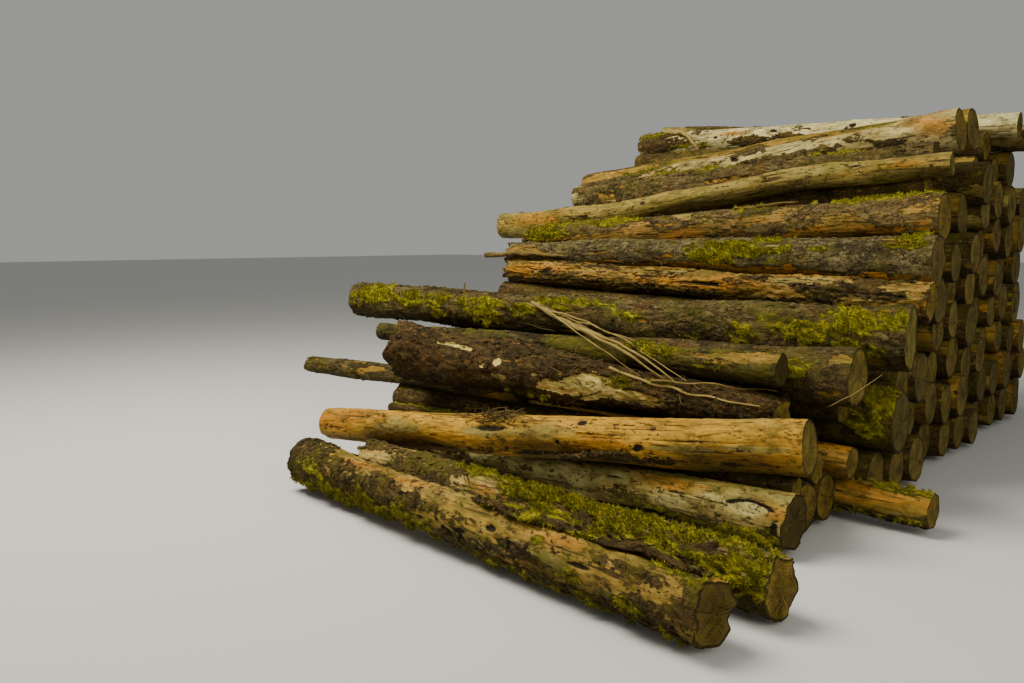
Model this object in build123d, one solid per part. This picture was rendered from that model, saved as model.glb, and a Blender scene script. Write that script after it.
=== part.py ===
from build123d import *
import math
import os
from dataclasses import dataclass, replace
from random import Random

import numpy as np

# A roadside stack of felled softwood logs, cut to length and piled parallel.
# The front of the stack is a ramp of loose logs, its top is level, its back is steep.
# Every log is one round with flat sawn ends. A log that shows is tapered, has a flared butt
# and bows, in straight stretches. The hidden and inner logs are plain straight rounds.
# Frame: +X along the logs to the sawn ends of the right face, +Y back into the stack,
# +Z up, in millimetres, with the origin on the floor under the middle of the stack.
# While the logs are laid, x = 0 is the mean plane of the right face and y = 0 lies
# under the right-hand end of the golden log.

# Stock sizes of the inner logs
log_length = 3050.0
log_diameter = 268.0
diameter_spread = 32.0
end_scatter = 75.0
end_pattern = (-0.4, 1.0, 0.3, -1.0, 0.6)

# The stack itself
bark_gap = 0.3
stack_back = 4850.0
back_step = 110.0
stack_seed = 38

# How a log is measured: stations along it, and the straight stretches that it is built of,
# one more for each step of taper and shorter towards the butt
stations = 241
least_stretches = 3
taper_step = 25.0
butt_crowding = 1.3
flare_reach = 0.10

# How a log is laid: the stations and the width in which it looks for what it may touch, the
# ends that find a hollow, and the steps and the limit of rolling there
reach = 3
touch_width = 1200.0
seat_share = 0.1
roll_step = 3.0
roll_limit = 150.0


@dataclass
class Log:
    """One log: its sizes, where its two ends lie in plan, and how its axis bends."""

    name: str
    butt: float
    top: float
    length: float = log_length
    right_x: float = 0.0
    right_y: float = 0.0
    left_y: float = 0.0
    butt_right: bool = True
    bow_side: float = 0.0
    bow_up: float = 0.0
    snake_up: float = 0.0
    flare: float = 0.07
    rolls: bool = False

    def shares(self):
        """Shares of the length, from the left end, where the straight stretches meet."""
        if not self.flare:
            return np.array([0, 1])
        stretches = least_stretches + int(abs(self.butt - self.top) / taper_step)
        from_butt = np.linspace(0, 1, stretches + 1) ** butt_crowding
        from_butt = (from_butt * (stations - 1)).round() / (stations - 1)
        return 1 - from_butt[::-1] if self.butt_right else from_butt

    def radius(self, u):
        """Radius at share u of the length, from the left end to the right."""
        from_butt = 1 - u if self.butt_right else u
        swell = self.flare * (np.exp(-from_butt / flare_reach) - 1)
        return (self.butt * (1 + swell) + (self.top - self.butt) * from_butt) / 2

    def bend(self, u):
        """How far the axis stands off its chord at share u, sideways and upwards."""
        arch = np.sin(math.pi * u)
        snake = np.sin(2 * math.pi * u)
        return self.bow_side * arch, self.bow_up * arch + self.snake_up * snake


@dataclass
class Laid:
    """A log in its place: its axis and radius at every station, left to right."""

    log: Log
    x: np.ndarray
    y: np.ndarray
    z: np.ndarray
    r: np.ndarray

    def cut(self, x):
        """Side place, height and radius where the plane at x cuts the log."""
        if not self.x[0] <= x <= self.x[-1]:
            return None
        return tuple(float(np.interp(x, self.x, v)) for v in (self.y, self.z, self.r))


def plan_of(log):
    """Axis of a log seen from above, with its radius and its bend upwards."""
    u = np.linspace(0, 1, stations)
    run = math.sqrt(log.length**2 - (log.right_y - log.left_y) ** 2)
    knots = log.shares()
    side, up, r = (np.interp(u, knots, v) for v in (*log.bend(knots), log.radius(knots)))
    x = log.right_x - run * (1 - u)
    y = log.left_y + (log.right_y - log.left_y) * u + side
    return x, y, r, up


def seat_height(pile, x, y, r):
    """Height at which a round of radius r, at x and y, rests on the pile."""
    height = r
    for other in pile:
        cut = other.cut(x)
        if cut is None:
            continue
        span = r + cut[2] + bark_gap
        if abs(y - cut[0]) < span:
            height = max(height, cut[1] + math.sqrt(span**2 - (y - cut[0]) ** 2))
    return height


def roll_down(pile, x, y, r):
    """Where a round of radius r, set down at y, comes to lie in the nearest hollow."""
    start, here = y, seat_height(pile, x, y, r)
    for way in (-roll_step, roll_step):
        while abs(y + way - start) < roll_limit:
            there = seat_height(pile, x, y + way, r)
            if there > here - 1e-6:
                break
            y, here = y + way, there
        if y != start:
            break
    return y


def across_span(round_reach, flat_reach, off):
    """How far apart two axes lie, across the logs, where round sides meet a length off.

    The flat reach is the radius of a log whose sawn end lies between: only its rim meets.
    """
    return flat_reach + np.sqrt(np.maximum(round_reach**2 - off**2, 0))


def needed_heights(pile, x, y, r):
    """Lowest clear height of the axis at each station, over all that lies below it."""
    needed = r.copy()
    for other in pile:
        if abs(other.y.mean() - y.mean()) > touch_width:
            continue
        nearest = np.searchsorted(other.x, x)
        past_other = (x < other.x[0]) | (x > other.x[-1])
        for shift in range(-reach, reach + 1):
            i = nearest + shift
            inside = (i >= 0) & (i < stations)
            i = np.clip(i, 0, stations - 1)
            off = x - other.x[i]
            past_log = (other.x[i] < x[0]) | (other.x[i] > x[-1])
            span = across_span(r + other.r[i], 0, off)
            span = np.where(past_other, across_span(r, other.r[i], off), span)
            span = np.where(past_log, across_span(other.r[i], r, off), span) + bark_gap
            aside = y - other.y[i]
            touches = inside & (abs(aside) < span)
            above = other.z[i] + np.sqrt(np.where(touches, span**2 - aside**2, 0))
            needed = np.where(touches, np.maximum(needed, above), needed)
    return needed


def resting_line(x, z, middle):
    """The straight line that lies on points (x, z) on both sides of the middle."""
    hull = []
    for point in zip(x, z):
        while len(hull) > 1:
            (ax, az), (bx, bz) = hull[-2:]
            if (bx - ax) * (point[1] - az) < (bz - az) * (point[0] - ax):
                break
            hull.pop()
        hull.append(point)
    for (ax, az), (bx, bz) in zip(hull, hull[1:]):
        if bx >= middle:
            break
    slope = (bz - az) / (bx - ax)
    return az - slope * ax, slope


def lay(pile, log):
    """Lays a log on the pile: it may roll to a hollow, then comes down on two seats."""
    if log.rolls:
        shares = (seat_share / 2, 1 - seat_share / 2)
        x, y, r, up = plan_of(log)
        places = [tuple(float(v[round(u * (stations - 1))]) for v in (x, y, r)) for u in shares]
        low, high = (roll_down(pile, *place) - place[1] for place in places)
        per_share = (high - low) / (shares[1] - shares[0])
        log.left_y += low - per_share * shares[0]
        log.right_y += high + per_share * (1 - shares[1])
    x, y, r, up = plan_of(log)
    needed = needed_heights(pile, x, y, r)
    balance = float((x * r**2).sum() / (r**2).sum())
    start, slope = resting_line(x, needed - up, balance)
    pile.append(Laid(log, x, y, start + slope * x + up, r))
    return pile[-1]


def lay_beside(pile, log):
    """Lays a log on the floor and pushes it against the log laid before it."""
    other, alone = pile[-1], lay([], log)
    side_y, side_z, side_r = (np.interp(alone.x, other.x, v) for v in (other.y, other.z, other.r))
    span = alone.r + side_r + 2 * bark_gap
    beside = side_y + np.sqrt(span**2 - (alone.z - side_z) ** 2)
    passes = (alone.x >= other.x[0]) & (alone.x <= other.x[-1])
    pile.append(replace(alone, y=alone.y + (beside - alone.y)[passes].max()))
    return pile[-1]


def inner_log(level, number, chance, y):
    """A straight log of the stock sizes, a little thicker or thinner and not quite in line."""
    name = f"course_{level}_log_{number}"
    thick = log_diameter + chance.uniform(-diameter_spread, diameter_spread)
    right_x = end_scatter * end_pattern[(2 * number + level) % len(end_pattern)]
    return Log(name, thick, thick, log_length, right_x, y, y, flare=0, rolls=level > 0)


def fill_course(pile, level, front_y, back_y, chance):
    """Inner logs of a course, laid from the front to the back."""
    count, right_y, left_y = 0, front_y, front_y
    half = log_diameter / 2
    while (right_y + left_y) / 2 + half <= back_y:
        count += 1
        y = (right_y + left_y) / 2 + half
        log = inner_log(level, count, chance, y)
        laid = lay(pile, log) if level else lay_beside(pile, log)
        right_y = max(right_y + half, float(laid.y[-1] + laid.r[-1]))
        left_y = max(left_y + half, float(laid.y[0] + laid.r[0]))


# The logs that show in the ramp, front to back and bottom up. Each has its thick and its
# thin end diameter, its length, the place of its right end (x, y) and of its left (y).
front_logs = [
    Log("front_log", 240, 270, 2900, 200, -1180, -740, bow_side=-14, bow_up=9),
    Log("mossy_front_log", 230, 200, 2930, 270, -800, -330, bow_side=-18, bow_up=12),
    Log("scarred_log", 256, 125, 2850, 0, -40, 150, bow_side=10, bow_up=14),
]
floor_logs = [
    Log("low_hidden_log_1", 242, 242, 2950, -60, 240, 330, flare=0),
    Log("low_hidden_log_2", 238, 238, 2950, -60, 495, 570, flare=0),
    Log("orange_floor_log", 180, 180, 3000, 400, 760, 850, bow_side=12, bow_up=6),
]
ramp_courses = [
    [
        Log("thin_pole", 100, 80, 2950, -60, 110, 240, bow_side=16, bow_up=10),
        Log("small_orange_log", 170, 150, 3000, 20, 610, 650, bow_side=-9, bow_up=6),
        Log("low_hidden_log_3", 165, 165, 2950, -60, 365, 330, flare=0),
        Log("golden_log", 280, 225, 3080, -10, 120, -250, bow_side=-12, bow_up=-10),
        Log("moss_topped_log", 330, 280, 3000, 120, 1050, 1000, bow_side=-12, bow_up=8),
    ],
    [
        Log("low_hidden_log_4", 190, 190, 2950, -100, 800, 820, flare=0),
        Log("stray_pole", 130, 120, 2100, -1900, 320, 300, bow_side=9, bow_up=8),
        Log("lumpy_bark_log", 360, 200, 2550, -250, 370, 120, False, bow_side=12, bow_up=14),
        Log("thin_green_log", 160, 130, 3000, -280, 400, 400, bow_side=-12, bow_up=10),
        Log("red_bark_log", 285, 240, 3000, 20, 640, 640, bow_side=10, bow_up=8),
        Log("low_hidden_log_5", 150, 150, 2950, -60, 960, 900, flare=0),
    ],
    [Log("long_mossy_log", 330, 240, 3890, 170, 980, 550, bow_side=-16, bow_up=-10)],
    [
        Log("low_hidden_log_6", 190, 190, 2950, -60, 1420, 1450, flare=0),
        Log("splintered_log", 225, 170, 3150, 150, 1440, 1450, bow_side=-10, bow_up=7),
    ],
    [
        Log("grey_mossy_log", 305, 180, 3150, 130, 1580, 1520, bow_side=-12, bow_up=8),
        Log("pink_bark_log", 275, 210, 3050, 110, 1720, 1660, bow_side=10, bow_up=9),
    ],
    [Log("wedged_log_1", 150, 150, 2950, -60, 1985, 1960, flare=0)],
    [
        Log("snake_log", 215, 145, 3400, 90, 1900, 1800, False, bow_side=-14, snake_up=-32),
        Log("rough_bark_log", 320, 240, 2600, -40, 2080, 2100, False, bow_side=12, bow_up=9),
        Log("edge_log", 260, 214, 3000, 40, 2250, 2350, bow_side=-9, bow_up=8),
    ],
    [
        Log("wedged_log_2", 205, 205, 2950, -60, 3380, 3400, flare=0),
        Log("top_log", 220, 200, 3150, 120, 3500, 3500, False, bow_side=-10, bow_up=12),
        Log("back_top_log", 220, 200, 3150, 220, 3750, 3700, False, bow_side=12, bow_up=8),
    ],
]
# Where the inner logs of each course start, behind the ramp
inner_from = [960, 1230, 1060, 1450, 1620, 1780, 2200, 2400, 3900]


def stack_logs():
    """Lays the whole stack, course by course from the floor up, and returns the pile."""
    pile = []
    chance = Random(stack_seed)
    for log in front_logs:
        lay(pile, log)
    for log in floor_logs:
        lay_beside(pile, log)
    for level, course in enumerate([[], *ramp_courses]):
        for log in course:
            lay(pile, log)
        fill_course(pile, level, inner_from[level], stack_back - back_step * level, chance)
    return pile


def log_solid(laid):
    """The solid of a laid log: round sections across its axis, with straight sides between."""
    axis = np.stack([laid.x, laid.y, laid.z], axis=1)
    ways = np.gradient(axis, axis=0)
    rounds = []
    for share in laid.log.shares():
        i = round(share * (stations - 1))
        across = Plane(origin=tuple(axis[i]), x_dir=(0, 1, 0), z_dir=tuple(ways[i]))
        rounds.append(across * Circle(float(laid.r[i])))
    return loft(rounds, ruled=True).solid()


pile = stack_logs()
solids = [log_solid(laid) for laid in pile]
box = Compound(solids).bounding_box()
to_origin = Pos(-box.center().X, -box.center().Y, -box.min.Z)

# One part for each log of the ramp, and one for the inner logs of each course
nodes = {}
for laid, solid in zip(pile, solids):
    name = laid.log.name
    if name.startswith("course_"):
        name = "_".join(name.split("_")[:2]) + "_inner_logs"
    nodes.setdefault(name, []).append(to_origin * solid)

os.makedirs("parts", exist_ok=True)
for name, members in nodes.items():
    shape = members[0] if len(members) == 1 else Compound(members)
    export_step(shape, f"parts/{name}.step")
print(len(solids), "logs in", len(nodes), "parts, moved by", to_origin.position)
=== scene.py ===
import bpy
import numpy as np
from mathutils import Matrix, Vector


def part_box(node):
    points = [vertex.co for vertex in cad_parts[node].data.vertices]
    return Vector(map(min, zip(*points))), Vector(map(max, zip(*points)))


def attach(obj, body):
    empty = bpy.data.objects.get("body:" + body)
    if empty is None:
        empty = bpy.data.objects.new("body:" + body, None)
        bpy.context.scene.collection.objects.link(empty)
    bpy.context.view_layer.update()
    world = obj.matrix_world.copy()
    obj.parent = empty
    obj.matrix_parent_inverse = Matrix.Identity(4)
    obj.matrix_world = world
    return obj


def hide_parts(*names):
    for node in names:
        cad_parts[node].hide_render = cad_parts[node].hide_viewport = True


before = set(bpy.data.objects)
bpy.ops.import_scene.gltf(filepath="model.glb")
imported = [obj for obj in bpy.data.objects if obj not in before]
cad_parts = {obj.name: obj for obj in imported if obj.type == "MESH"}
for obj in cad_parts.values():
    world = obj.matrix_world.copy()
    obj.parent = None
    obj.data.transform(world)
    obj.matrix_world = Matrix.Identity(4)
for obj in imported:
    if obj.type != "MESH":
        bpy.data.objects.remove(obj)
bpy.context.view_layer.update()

print("frame read", len(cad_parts))


def smoothStep(low, high, value):
    # 0 below low, 1 above high, and 3t^2 - 2t^3 between; low may be the larger one
    t = np.clip((value - low) / (high - low), 0, 1)
    return t * t * (3 - 2 * t)


def waves(turn, run, chance, around, along, count=20):
    # sum of cosines of (whole number * turn + number * run + phase), scaled to a spread of about 1
    whole = chance.integers(-around, around + 1, count)
    steps = chance.uniform(-along, along, count) * 2 * np.pi
    phases = chance.uniform(0, 2 * np.pi, count)
    total = 0
    for k, f, p in zip(whole, steps, phases):
        total = total + np.cos(k * turn + f * run + p)
    return total * np.sqrt(2 / count)


def roughWaves(turn, run, chance):
    # waves of three sizes, the finer ones weaker
    coarse, middle = waves(turn, run, chance, 7, 3), waves(turn, run, chance, 17, 9, 30)
    return coarse + 0.7 * middle + 0.5 * waves(turn, run, chance, 34, 20, 44)


def turnFrom(turn, degrees):
    # turn less degrees, brought between minus and plus half a turn
    return (turn - np.radians(degrees) + np.pi) % (2 * np.pi) - np.pi


def patches(turn, share, spots, edge):
    # strongest of the soft ovals on a log: strength, falling to 0 where
    # hypot(share / half length, turn / half width) from the middle passes about 1
    total = np.zeros(np.broadcast(turn, share).shape)
    for place, angle, length, width, strength in spots:
        far = np.hypot((share - place) / length, turnFrom(turn, angle) / np.radians(width))
        total = np.maximum(total, strength * smoothStep(1.35, 0.65, far + edge))
    return total


def unit(vectors):
    return vectors / np.linalg.norm(vectors, axis=-1, keepdims=True)


def ringOf(points, way):
    # centre and radius of the circle that fits points best, in the plane across way
    side = unit(np.cross(way, (0, 0, 1)))
    up = np.cross(side, way)
    a, b = points @ side, points @ up
    terms = np.stack([2 * a, 2 * b, np.ones(len(a))], 1)
    fit = np.linalg.lstsq(terms, a * a + b * b, rcond=None)[0]
    centre = fit[0] * side + fit[1] * up + (points @ way).mean() * way
    return centre, np.sqrt(fit[2] + fit[0] ** 2 + fit[1] ** 2)


# how the rings of a log are told apart in the CAD mesh
meshReading = {"decimals": 5, "ringGap": 0.03, "fewestPoints": 12}


def nodeLogs(node):
    # every solid of a CAD node as the rings (centre, radius) that it is built of, left end first
    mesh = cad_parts[node].data
    mesh.calc_loop_triangles()
    places = np.empty(len(mesh.vertices) * 3)
    corners = np.empty(len(mesh.loop_triangles) * 3, int)
    mesh.vertices.foreach_get("co", places)
    mesh.loop_triangles.foreach_get("vertices", corners)
    places = places.reshape(-1, 3).round(meshReading["decimals"])
    places, same = np.unique(places, axis=0, return_inverse=True)
    corners = same.ravel()[corners].reshape(-1, 3)
    label = np.arange(len(places))
    changed = True
    while changed:  # each point takes the lowest label of its triangles, until none changes
        lower = label.copy()
        np.minimum.at(lower, corners.ravel(), np.repeat(label[corners].min(axis=1), 3))
        lower = lower[lower]
        changed = bool((lower != label).any())
        label = lower
    logs = []
    for one in np.unique(label):
        points = places[label == one]
        way = np.linalg.svd(points - points.mean(0), full_matrices=False)[2][0]
        way = way * np.sign(way[0])
        run = points @ way
        order = np.argsort(run)
        gaps = np.nonzero(np.diff(run[order]) > meshReading["ringGap"])[0] + 1
        groups = [group for group in np.split(order, gaps)
                  if len(group) >= meshReading["fewestPoints"]]
        logs.append([ringOf(points[group], way) for group in groups])
    return logs


def logLine(rings, shares):
    # smooth centre line through the rings, with the radius and the ways along, up and to the front
    centres = np.array([centre for centre, radius in rings])
    radii = np.array([radius for centre, radius in rings])
    knots = np.append(0, np.cumsum(np.linalg.norm(np.diff(centres, axis=0), axis=1)))
    length = knots[-1]
    knots = knots / length
    order = min(len(knots) - 1, 5)
    centre = np.stack([np.polyval(np.polyfit(knots, c, order), shares) for c in centres.T], 1)
    along = unit(np.gradient(centre, shares, axis=0))
    up = unit(np.array([0, 0, 1]) - along[:, 2:3] * along)
    return centre, np.interp(shares, knots, radii), along, up, np.cross(along, up), length


def coverFields(look, chance, turn, share, run, waviness):
    # where the bark, moss, tint, dark spots and painted shade of a log lie: a base amount + waves,
    # with the patches of its dictionary laid over it; the painted shade is darkest underneath;
    # hollow is 1 inside the oval scars
    low, edge, fine = waviness
    top = np.cos(turn) + 0 * run
    bark = look["barkCover"] + look["barkBreak"] * (waves(turn, run, chance, 5, 2.5) + 2 * edge)
    bark = np.maximum(bark, patches(turn, share, look["bark"], edge))
    bark = bark - patches(turn, share, look["bare"], edge)
    onTop = look["mossTop"] * smoothStep(0.0, 0.9, top)
    moss = onTop * (0.6 + 0.5 * waves(turn, run, chance, 4, 1.6))
    moss = np.maximum(moss, patches(turn, share, look["moss"], edge * 1.2)) * (0.8 + 0.2 * fine)
    tint = look["tintBase"] + 0.28 * waves(turn, run, chance, 5, 2)
    tint = tint + patches(turn, share, look["orange"], edge)
    tint = tint - patches(turn, share, look["grey"], edge)
    dark = patches(turn, share, look["dark"], edge)
    hollow = 0 * dark
    for place, angle, length, width in look["scars"]:
        aside = turnFrom(turn, angle) / np.radians(width)
        far = np.hypot((share - place) / length, aside) + 0.15 * edge
        arch = smoothStep(0.30, 0.10, np.abs(far - 1)) * smoothStep(0.1, -0.3, aside)
        dark = np.maximum(dark, arch)
        hollow = np.maximum(hollow, smoothStep(1.05, 0.85, far))
    # painted shade: stronger the more the surface faces down, standing in for the shade under a log
    damp = look["damp"] * smoothStep(0.25, -0.85, top + 0.25 * low)
    fields = {"bark": bark, "moss": moss * (1 - hollow), "tint": tint - hollow, "dark": dark,
              "damp": damp}
    return fields, moss, hollow


endCap = {"rows": np.array([0.2, 0.42, 0.64, 0.84, 0.97]), "rough": 0.0016, "tearDepth": 0.05,
          "narrowing": 0.02}  # rows as shares of the way from the middle to the rim


def capOf(rim, centre, along, inwards, pulled, chance, turn):
    # rows that shrink to the middle of an end, a little rough, hollow where the wood is torn
    reach = endCap["rows"][:, None]
    middle = centre + inwards * 0.5 * pulled.mean() * along
    rough = endCap["rough"] * waves(turn, 6 * reach, chance, 6, 2)
    torn = 0.4 * pulled.max() * waves(turn, 3 * reach, chance, 5, 1) * (1 - reach)
    points = middle + reach[..., None] * (rim[None] - middle) + (rough + torn)[..., None] * along
    return points, middle


def logGrid(rings, look, chance):
    # a log as a closed grid of turn (0 on top, a quarter to the front) and share of the length:
    # centre line + (radius + relief) * (cos turn * up + sin turn * front), with a cap at each end
    around, rows = look["grid"]
    shares = np.linspace(0, 1, rows)
    centre, radius, along, up, front, length = logLine(rings, shares)
    turn = np.linspace(0, 2 * np.pi, around, endpoint=False)[None, :]
    share, run = shares[:, None], shares[:, None] * length
    low = waves(turn, run, chance, 3, 1.2)
    edge = 0.2 * roughWaves(turn, run, chance)
    fine = waves(turn, run, chance, 22, 16, 30)
    fields, moss, hollow = coverFields(look, chance, turn, share, run, (low, edge, fine))

    relief = look["rough"] * (low + 0.5 * edge) + look["fineRough"] * fine
    plates = smoothStep(0.1, 0.7, np.abs(waves(turn, run, chance, 15, 7, 30)))
    relief += smoothStep(0.4, 0.6, fields["bark"]) * look["barkThick"] * (0.45 + 0.55 * plates)
    relief += smoothStep(0.35, 0.9, moss) * look["mossThick"] * (0.8 + 0.35 * fine)
    relief -= look["darkDepth"] * fields["dark"] + look["scarDepth"] * hollow
    for place, angle, height, size in look["knots"]:  # height * exp(-(distance / size) squared)
        aside = turnFrom(turn, angle) * radius[:, None] / size
        relief += height * np.exp(-((share - place) * length / size) ** 2 - aside ** 2)

    pull = [amount * (0.5 + 0.5 * np.clip(waves(turn, 0 * run[:1], chance, 8, 1), -1, 1))
            for amount in look["tear"]]
    fromLeft = np.exp(-run / endCap["tearDepth"])
    fromRight = np.exp(-(length - run) / endCap["tearDepth"])
    narrowing = 1 - endCap["narrowing"] * fromLeft - endCap["narrowing"] * fromRight
    outline = (radius[:, None] + relief) * narrowing
    out = np.cos(turn)[..., None] * up[:, None] + np.sin(turn)[..., None] * front[:, None]
    points = centre[:, None] + outline[..., None] * out
    points += (pull[0] * fromLeft - pull[1] * fromRight)[..., None] * along[:, None]

    left, leftPole = capOf(points[0], centre[0], along[0], 1, pull[0], chance, turn)
    right, rightPole = capOf(points[-1], centre[-1], along[-1], -1, pull[1], chance, turn)
    body = np.concatenate([left, points, right[::-1]])
    capRows = len(endCap["rows"])
    reach = np.concatenate([endCap["rows"], np.ones(rows), endCap["rows"][::-1]])[:, None]
    owner = np.concatenate([np.zeros(capRows, int), np.arange(rows), np.full(capRows, rows - 1)])
    fields = {name: (field + 0 * outline)[owner] for name, field in fields.items()}
    fields["reach"] = reach + 0 * fields["bark"]
    fields["hue"] = look["hue"] + 0 * fields["bark"]
    local = outline[owner] * reach
    grain = np.stack([local * np.cos(turn), local * np.sin(turn), run[owner] + 0 * local], -1)
    grain = grain + look["seed"] * np.array([1.7, 2.9, 4.3])  # no two logs share a pattern

    quads, tris = gridFaces(len(body), around)
    rowOf = np.repeat(np.arange(len(body) - 1), around)
    kinds = ((rowOf < capRows) | (rowOf >= capRows - 1 + rows)).astype(int)
    grid = {"points": np.concatenate([body.reshape(-1, 3), [leftPole, rightPole]]),
            "quads": quads, "tris": tris, "kinds": kinds, "around": around, "rows": rows,
            "length": length}
    grid["fields"] = {name: np.append(field.ravel(), (field[0].mean(), field[-1].mean()))
                      for name, field in fields.items()}
    grid["fields"]["reach"][-2:] = 0
    poles = np.stack([grain[0].mean(0), grain[-1].mean(0)])
    grid["grain"] = np.concatenate([grain.reshape(-1, 3), poles])
    face = np.stack([reach * np.cos(turn), reach * np.sin(turn), look["seed"] + 0 * local], -1)
    heart = (0, 0, look["seed"])
    grid["face"] = np.concatenate([face.reshape(-1, 3), [heart, heart]])
    grid["room"] = np.repeat(np.minimum(run, length - run)[owner, 0], around)
    grid["out"] = out[owner].reshape(-1, 3)
    grid["along"] = np.repeat(along[owner], around, axis=0)
    grid["onSide"] = np.repeat(reach[:, 0] == 1, around)
    return grid


def gridFaces(rows, around):
    # quads between neighbouring rows of a closed grid, and fans to the two poles after the last row
    row, column = np.meshgrid(np.arange(rows - 1), np.arange(around), indexing="ij")
    after = (column + 1) % around
    quads = np.stack([row * around + column, row * around + after,
                      (row + 1) * around + after, (row + 1) * around + column], -1).reshape(-1, 4)
    edge = np.arange(around)
    nextEdge = (edge + 1) % around
    pole, end = rows * around, (rows - 1) * around
    fans = [np.stack([nextEdge, edge, np.full(around, pole)], 1),
            np.stack([end + edge, end + nextEdge, np.full(around, pole + 1)], 1)]
    return quads, np.concatenate(fans)


# small closed shapes for scatter, as corners (along, across, out), quads and triangles
half = (-0.5, 0.5)
slabShape = (np.array([(x, y, z) for x in half for y in half for z in half]),
             np.array([(0, 1, 3, 2), (4, 6, 7, 5), (0, 4, 5, 1),
                       (2, 3, 7, 6), (0, 2, 6, 4), (1, 5, 7, 3)]),
             np.zeros((0, 3), int))
spikeShape = (np.array([(0.5, 0, 0), (-0.25, 0.43, 0), (-0.25, -0.43, 0), (0, 0, 1.0)]),
              np.zeros((0, 4), int), np.array([(0, 2, 1), (0, 1, 3), (1, 2, 3), (2, 0, 3)]))

# what lies on the logs: largest size (along, across, out), spread of its turn, lean out of the
# surface, how far it strays from its spot, and the fields that don't follow the log
litter = {
    "flakes": {"shape": slabShape, "size": (0.050, 0.022, 0.004), "spread": 0.5, "lean": 0.28,
               "stray": 0.008, "fixed": {"bark": 1.0, "dark": 0.0}},
    "slivers": {"shape": slabShape, "size": (0.16, 0.011, 0.007), "spread": 0.07, "lean": 0.06,
                "stray": 0.008, "fixed": {"bark": 0.0, "moss": 0.0}},
    "tufts": {"shape": spikeShape, "size": (0.008, 0.008, 0.021), "spread": 2.0, "lean": 0.8,
              "stray": 0.008, "fixed": {"moss": 1.0, "dark": 0.0}},
}


def scatter(grid, chance, kind, weights, count):
    # copies of a small shape on random spots of a log, none across an end: spot + corner * size in
    # the ways along, across and out, turned about the outward way by spread and leaning out of it
    corners, quads, tris = kind["shape"]
    weights = weights[:-2] * grid["onSide"] * (grid["room"] > 0.5 * kind["size"][0])
    spots = chance.choice(len(weights), count, p=weights / weights.sum())
    out, along = grid["out"][spots], grid["along"][spots]
    across = np.cross(out, along)
    angle = chance.normal(0, kind["spread"], (count, 1))
    first = np.cos(angle) * along + np.sin(angle) * across
    second = np.cross(out, first)
    tilt = chance.uniform(-1, 1, (count, 2)) * kind["lean"]
    first, second = unit(first + tilt[:, :1] * out), unit(second + tilt[:, 1:] * out)
    third = unit(np.cross(first, second))
    size = chance.uniform(0.5, 1.0, (count, 3)) * kind["size"]
    shift = chance.uniform(-kind["stray"], kind["stray"], (count, 2))
    spot = grid["points"][spots] + shift[:, :1] * along + shift[:, 1:] * across
    scaled = corners[None] * size[:, None]
    points = (spot[:, None] + scaled[..., :1] * first[:, None] + scaled[..., 1:2] * second[:, None]
              + scaled[..., 2:] * third[:, None])
    step = (np.arange(count) * len(corners))[:, None, None]
    many = {"points": points.reshape(-1, 3), "quads": (quads[None] + step).reshape(-1, 4),
            "tris": (tris[None] + step).reshape(-1, 3), "tipped": True}
    many["kinds"] = np.zeros(len(many["quads"]), int)
    many["fields"] = {name: np.repeat(field[spots], len(corners))
                      for name, field in grid["fields"].items()}
    for name, value in kind["fixed"].items():
        many["fields"][name][:] = value
    local = np.stack([scaled[..., 1], scaled[..., 2], scaled[..., 0]], -1)
    many["grain"] = (grid["grain"][spots][:, None] + local).reshape(-1, 3)
    many["face"] = np.repeat(grid["face"][spots], len(corners), axis=0)
    return many


def addPiece(name, node, grids, materials, hides=True):
    # one object from joined grids, riding on the root body; it hides the CAD node unless hides is
    # False; faces of kind 0 take the first material and those of kind 1, the sawn ends, the second;
    # a tipped grid, such as a stick or a tuft, has no sawn ends
    starts = np.append(0, np.cumsum([len(grid["points"]) for grid in grids]))[:-1]
    points = np.concatenate([grid["points"] for grid in grids])
    quads = np.concatenate([grid["quads"] + start for grid, start in zip(grids, starts)])
    tris = np.concatenate([grid["tris"] + start for grid, start in zip(grids, starts)])
    fanKind = [np.full(len(grid["tris"]), 0 if "tipped" in grid else 1) for grid in grids]
    kinds = np.concatenate([grid["kinds"] for grid in grids] + fanKind)
    mesh = bpy.data.meshes.new(name)
    mesh.from_pydata(points.tolist(), [], quads.tolist() + tris.tolist())
    mesh.polygons.foreach_set("material_index", kinds.astype(np.int32))
    for field in grids[0]["fields"]:
        values = np.concatenate([grid["fields"][field] for grid in grids])
        mesh.attributes.new(field, "FLOAT", "POINT").data.foreach_set("value", values)
    for field in ("grain", "face"):
        values = np.concatenate([grid[field] for grid in grids])
        layer = mesh.attributes.new(field, "FLOAT_VECTOR", "POINT")
        layer.data.foreach_set("vector", values.ravel())
    for material in materials:
        mesh.materials.append(material)
    mesh.polygons.foreach_set("use_smooth", np.ones(len(mesh.polygons), bool))
    mesh.update()
    mesh.set_sharp_from_angle(angle=np.radians(52))  # keeps the rims of the ends sharp
    piece = bpy.data.objects.new(name, mesh)
    bpy.context.scene.collection.objects.link(piece)
    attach(piece, "root")
    if hides:
        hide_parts(node)


class Value:
    # one output socket; sums and products of values and numbers become Math nodes
    def __init__(self, shader, socket):
        self.shader, self.socket = shader, socket

    def math(self, operation, first, second=0.0):
        return self.shader.node("ShaderNodeMath", {"operation": operation}, {0: first, 1: second})

    def __add__(self, other):
        return self.math("ADD", self, other)

    def __sub__(self, other):
        return self.math("SUBTRACT", self, other)

    def __rsub__(self, other):
        return self.math("SUBTRACT", other, self)

    def __mul__(self, other):
        return self.math("MULTIPLY", self, other)

    __radd__, __rmul__ = __add__, __mul__


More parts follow.
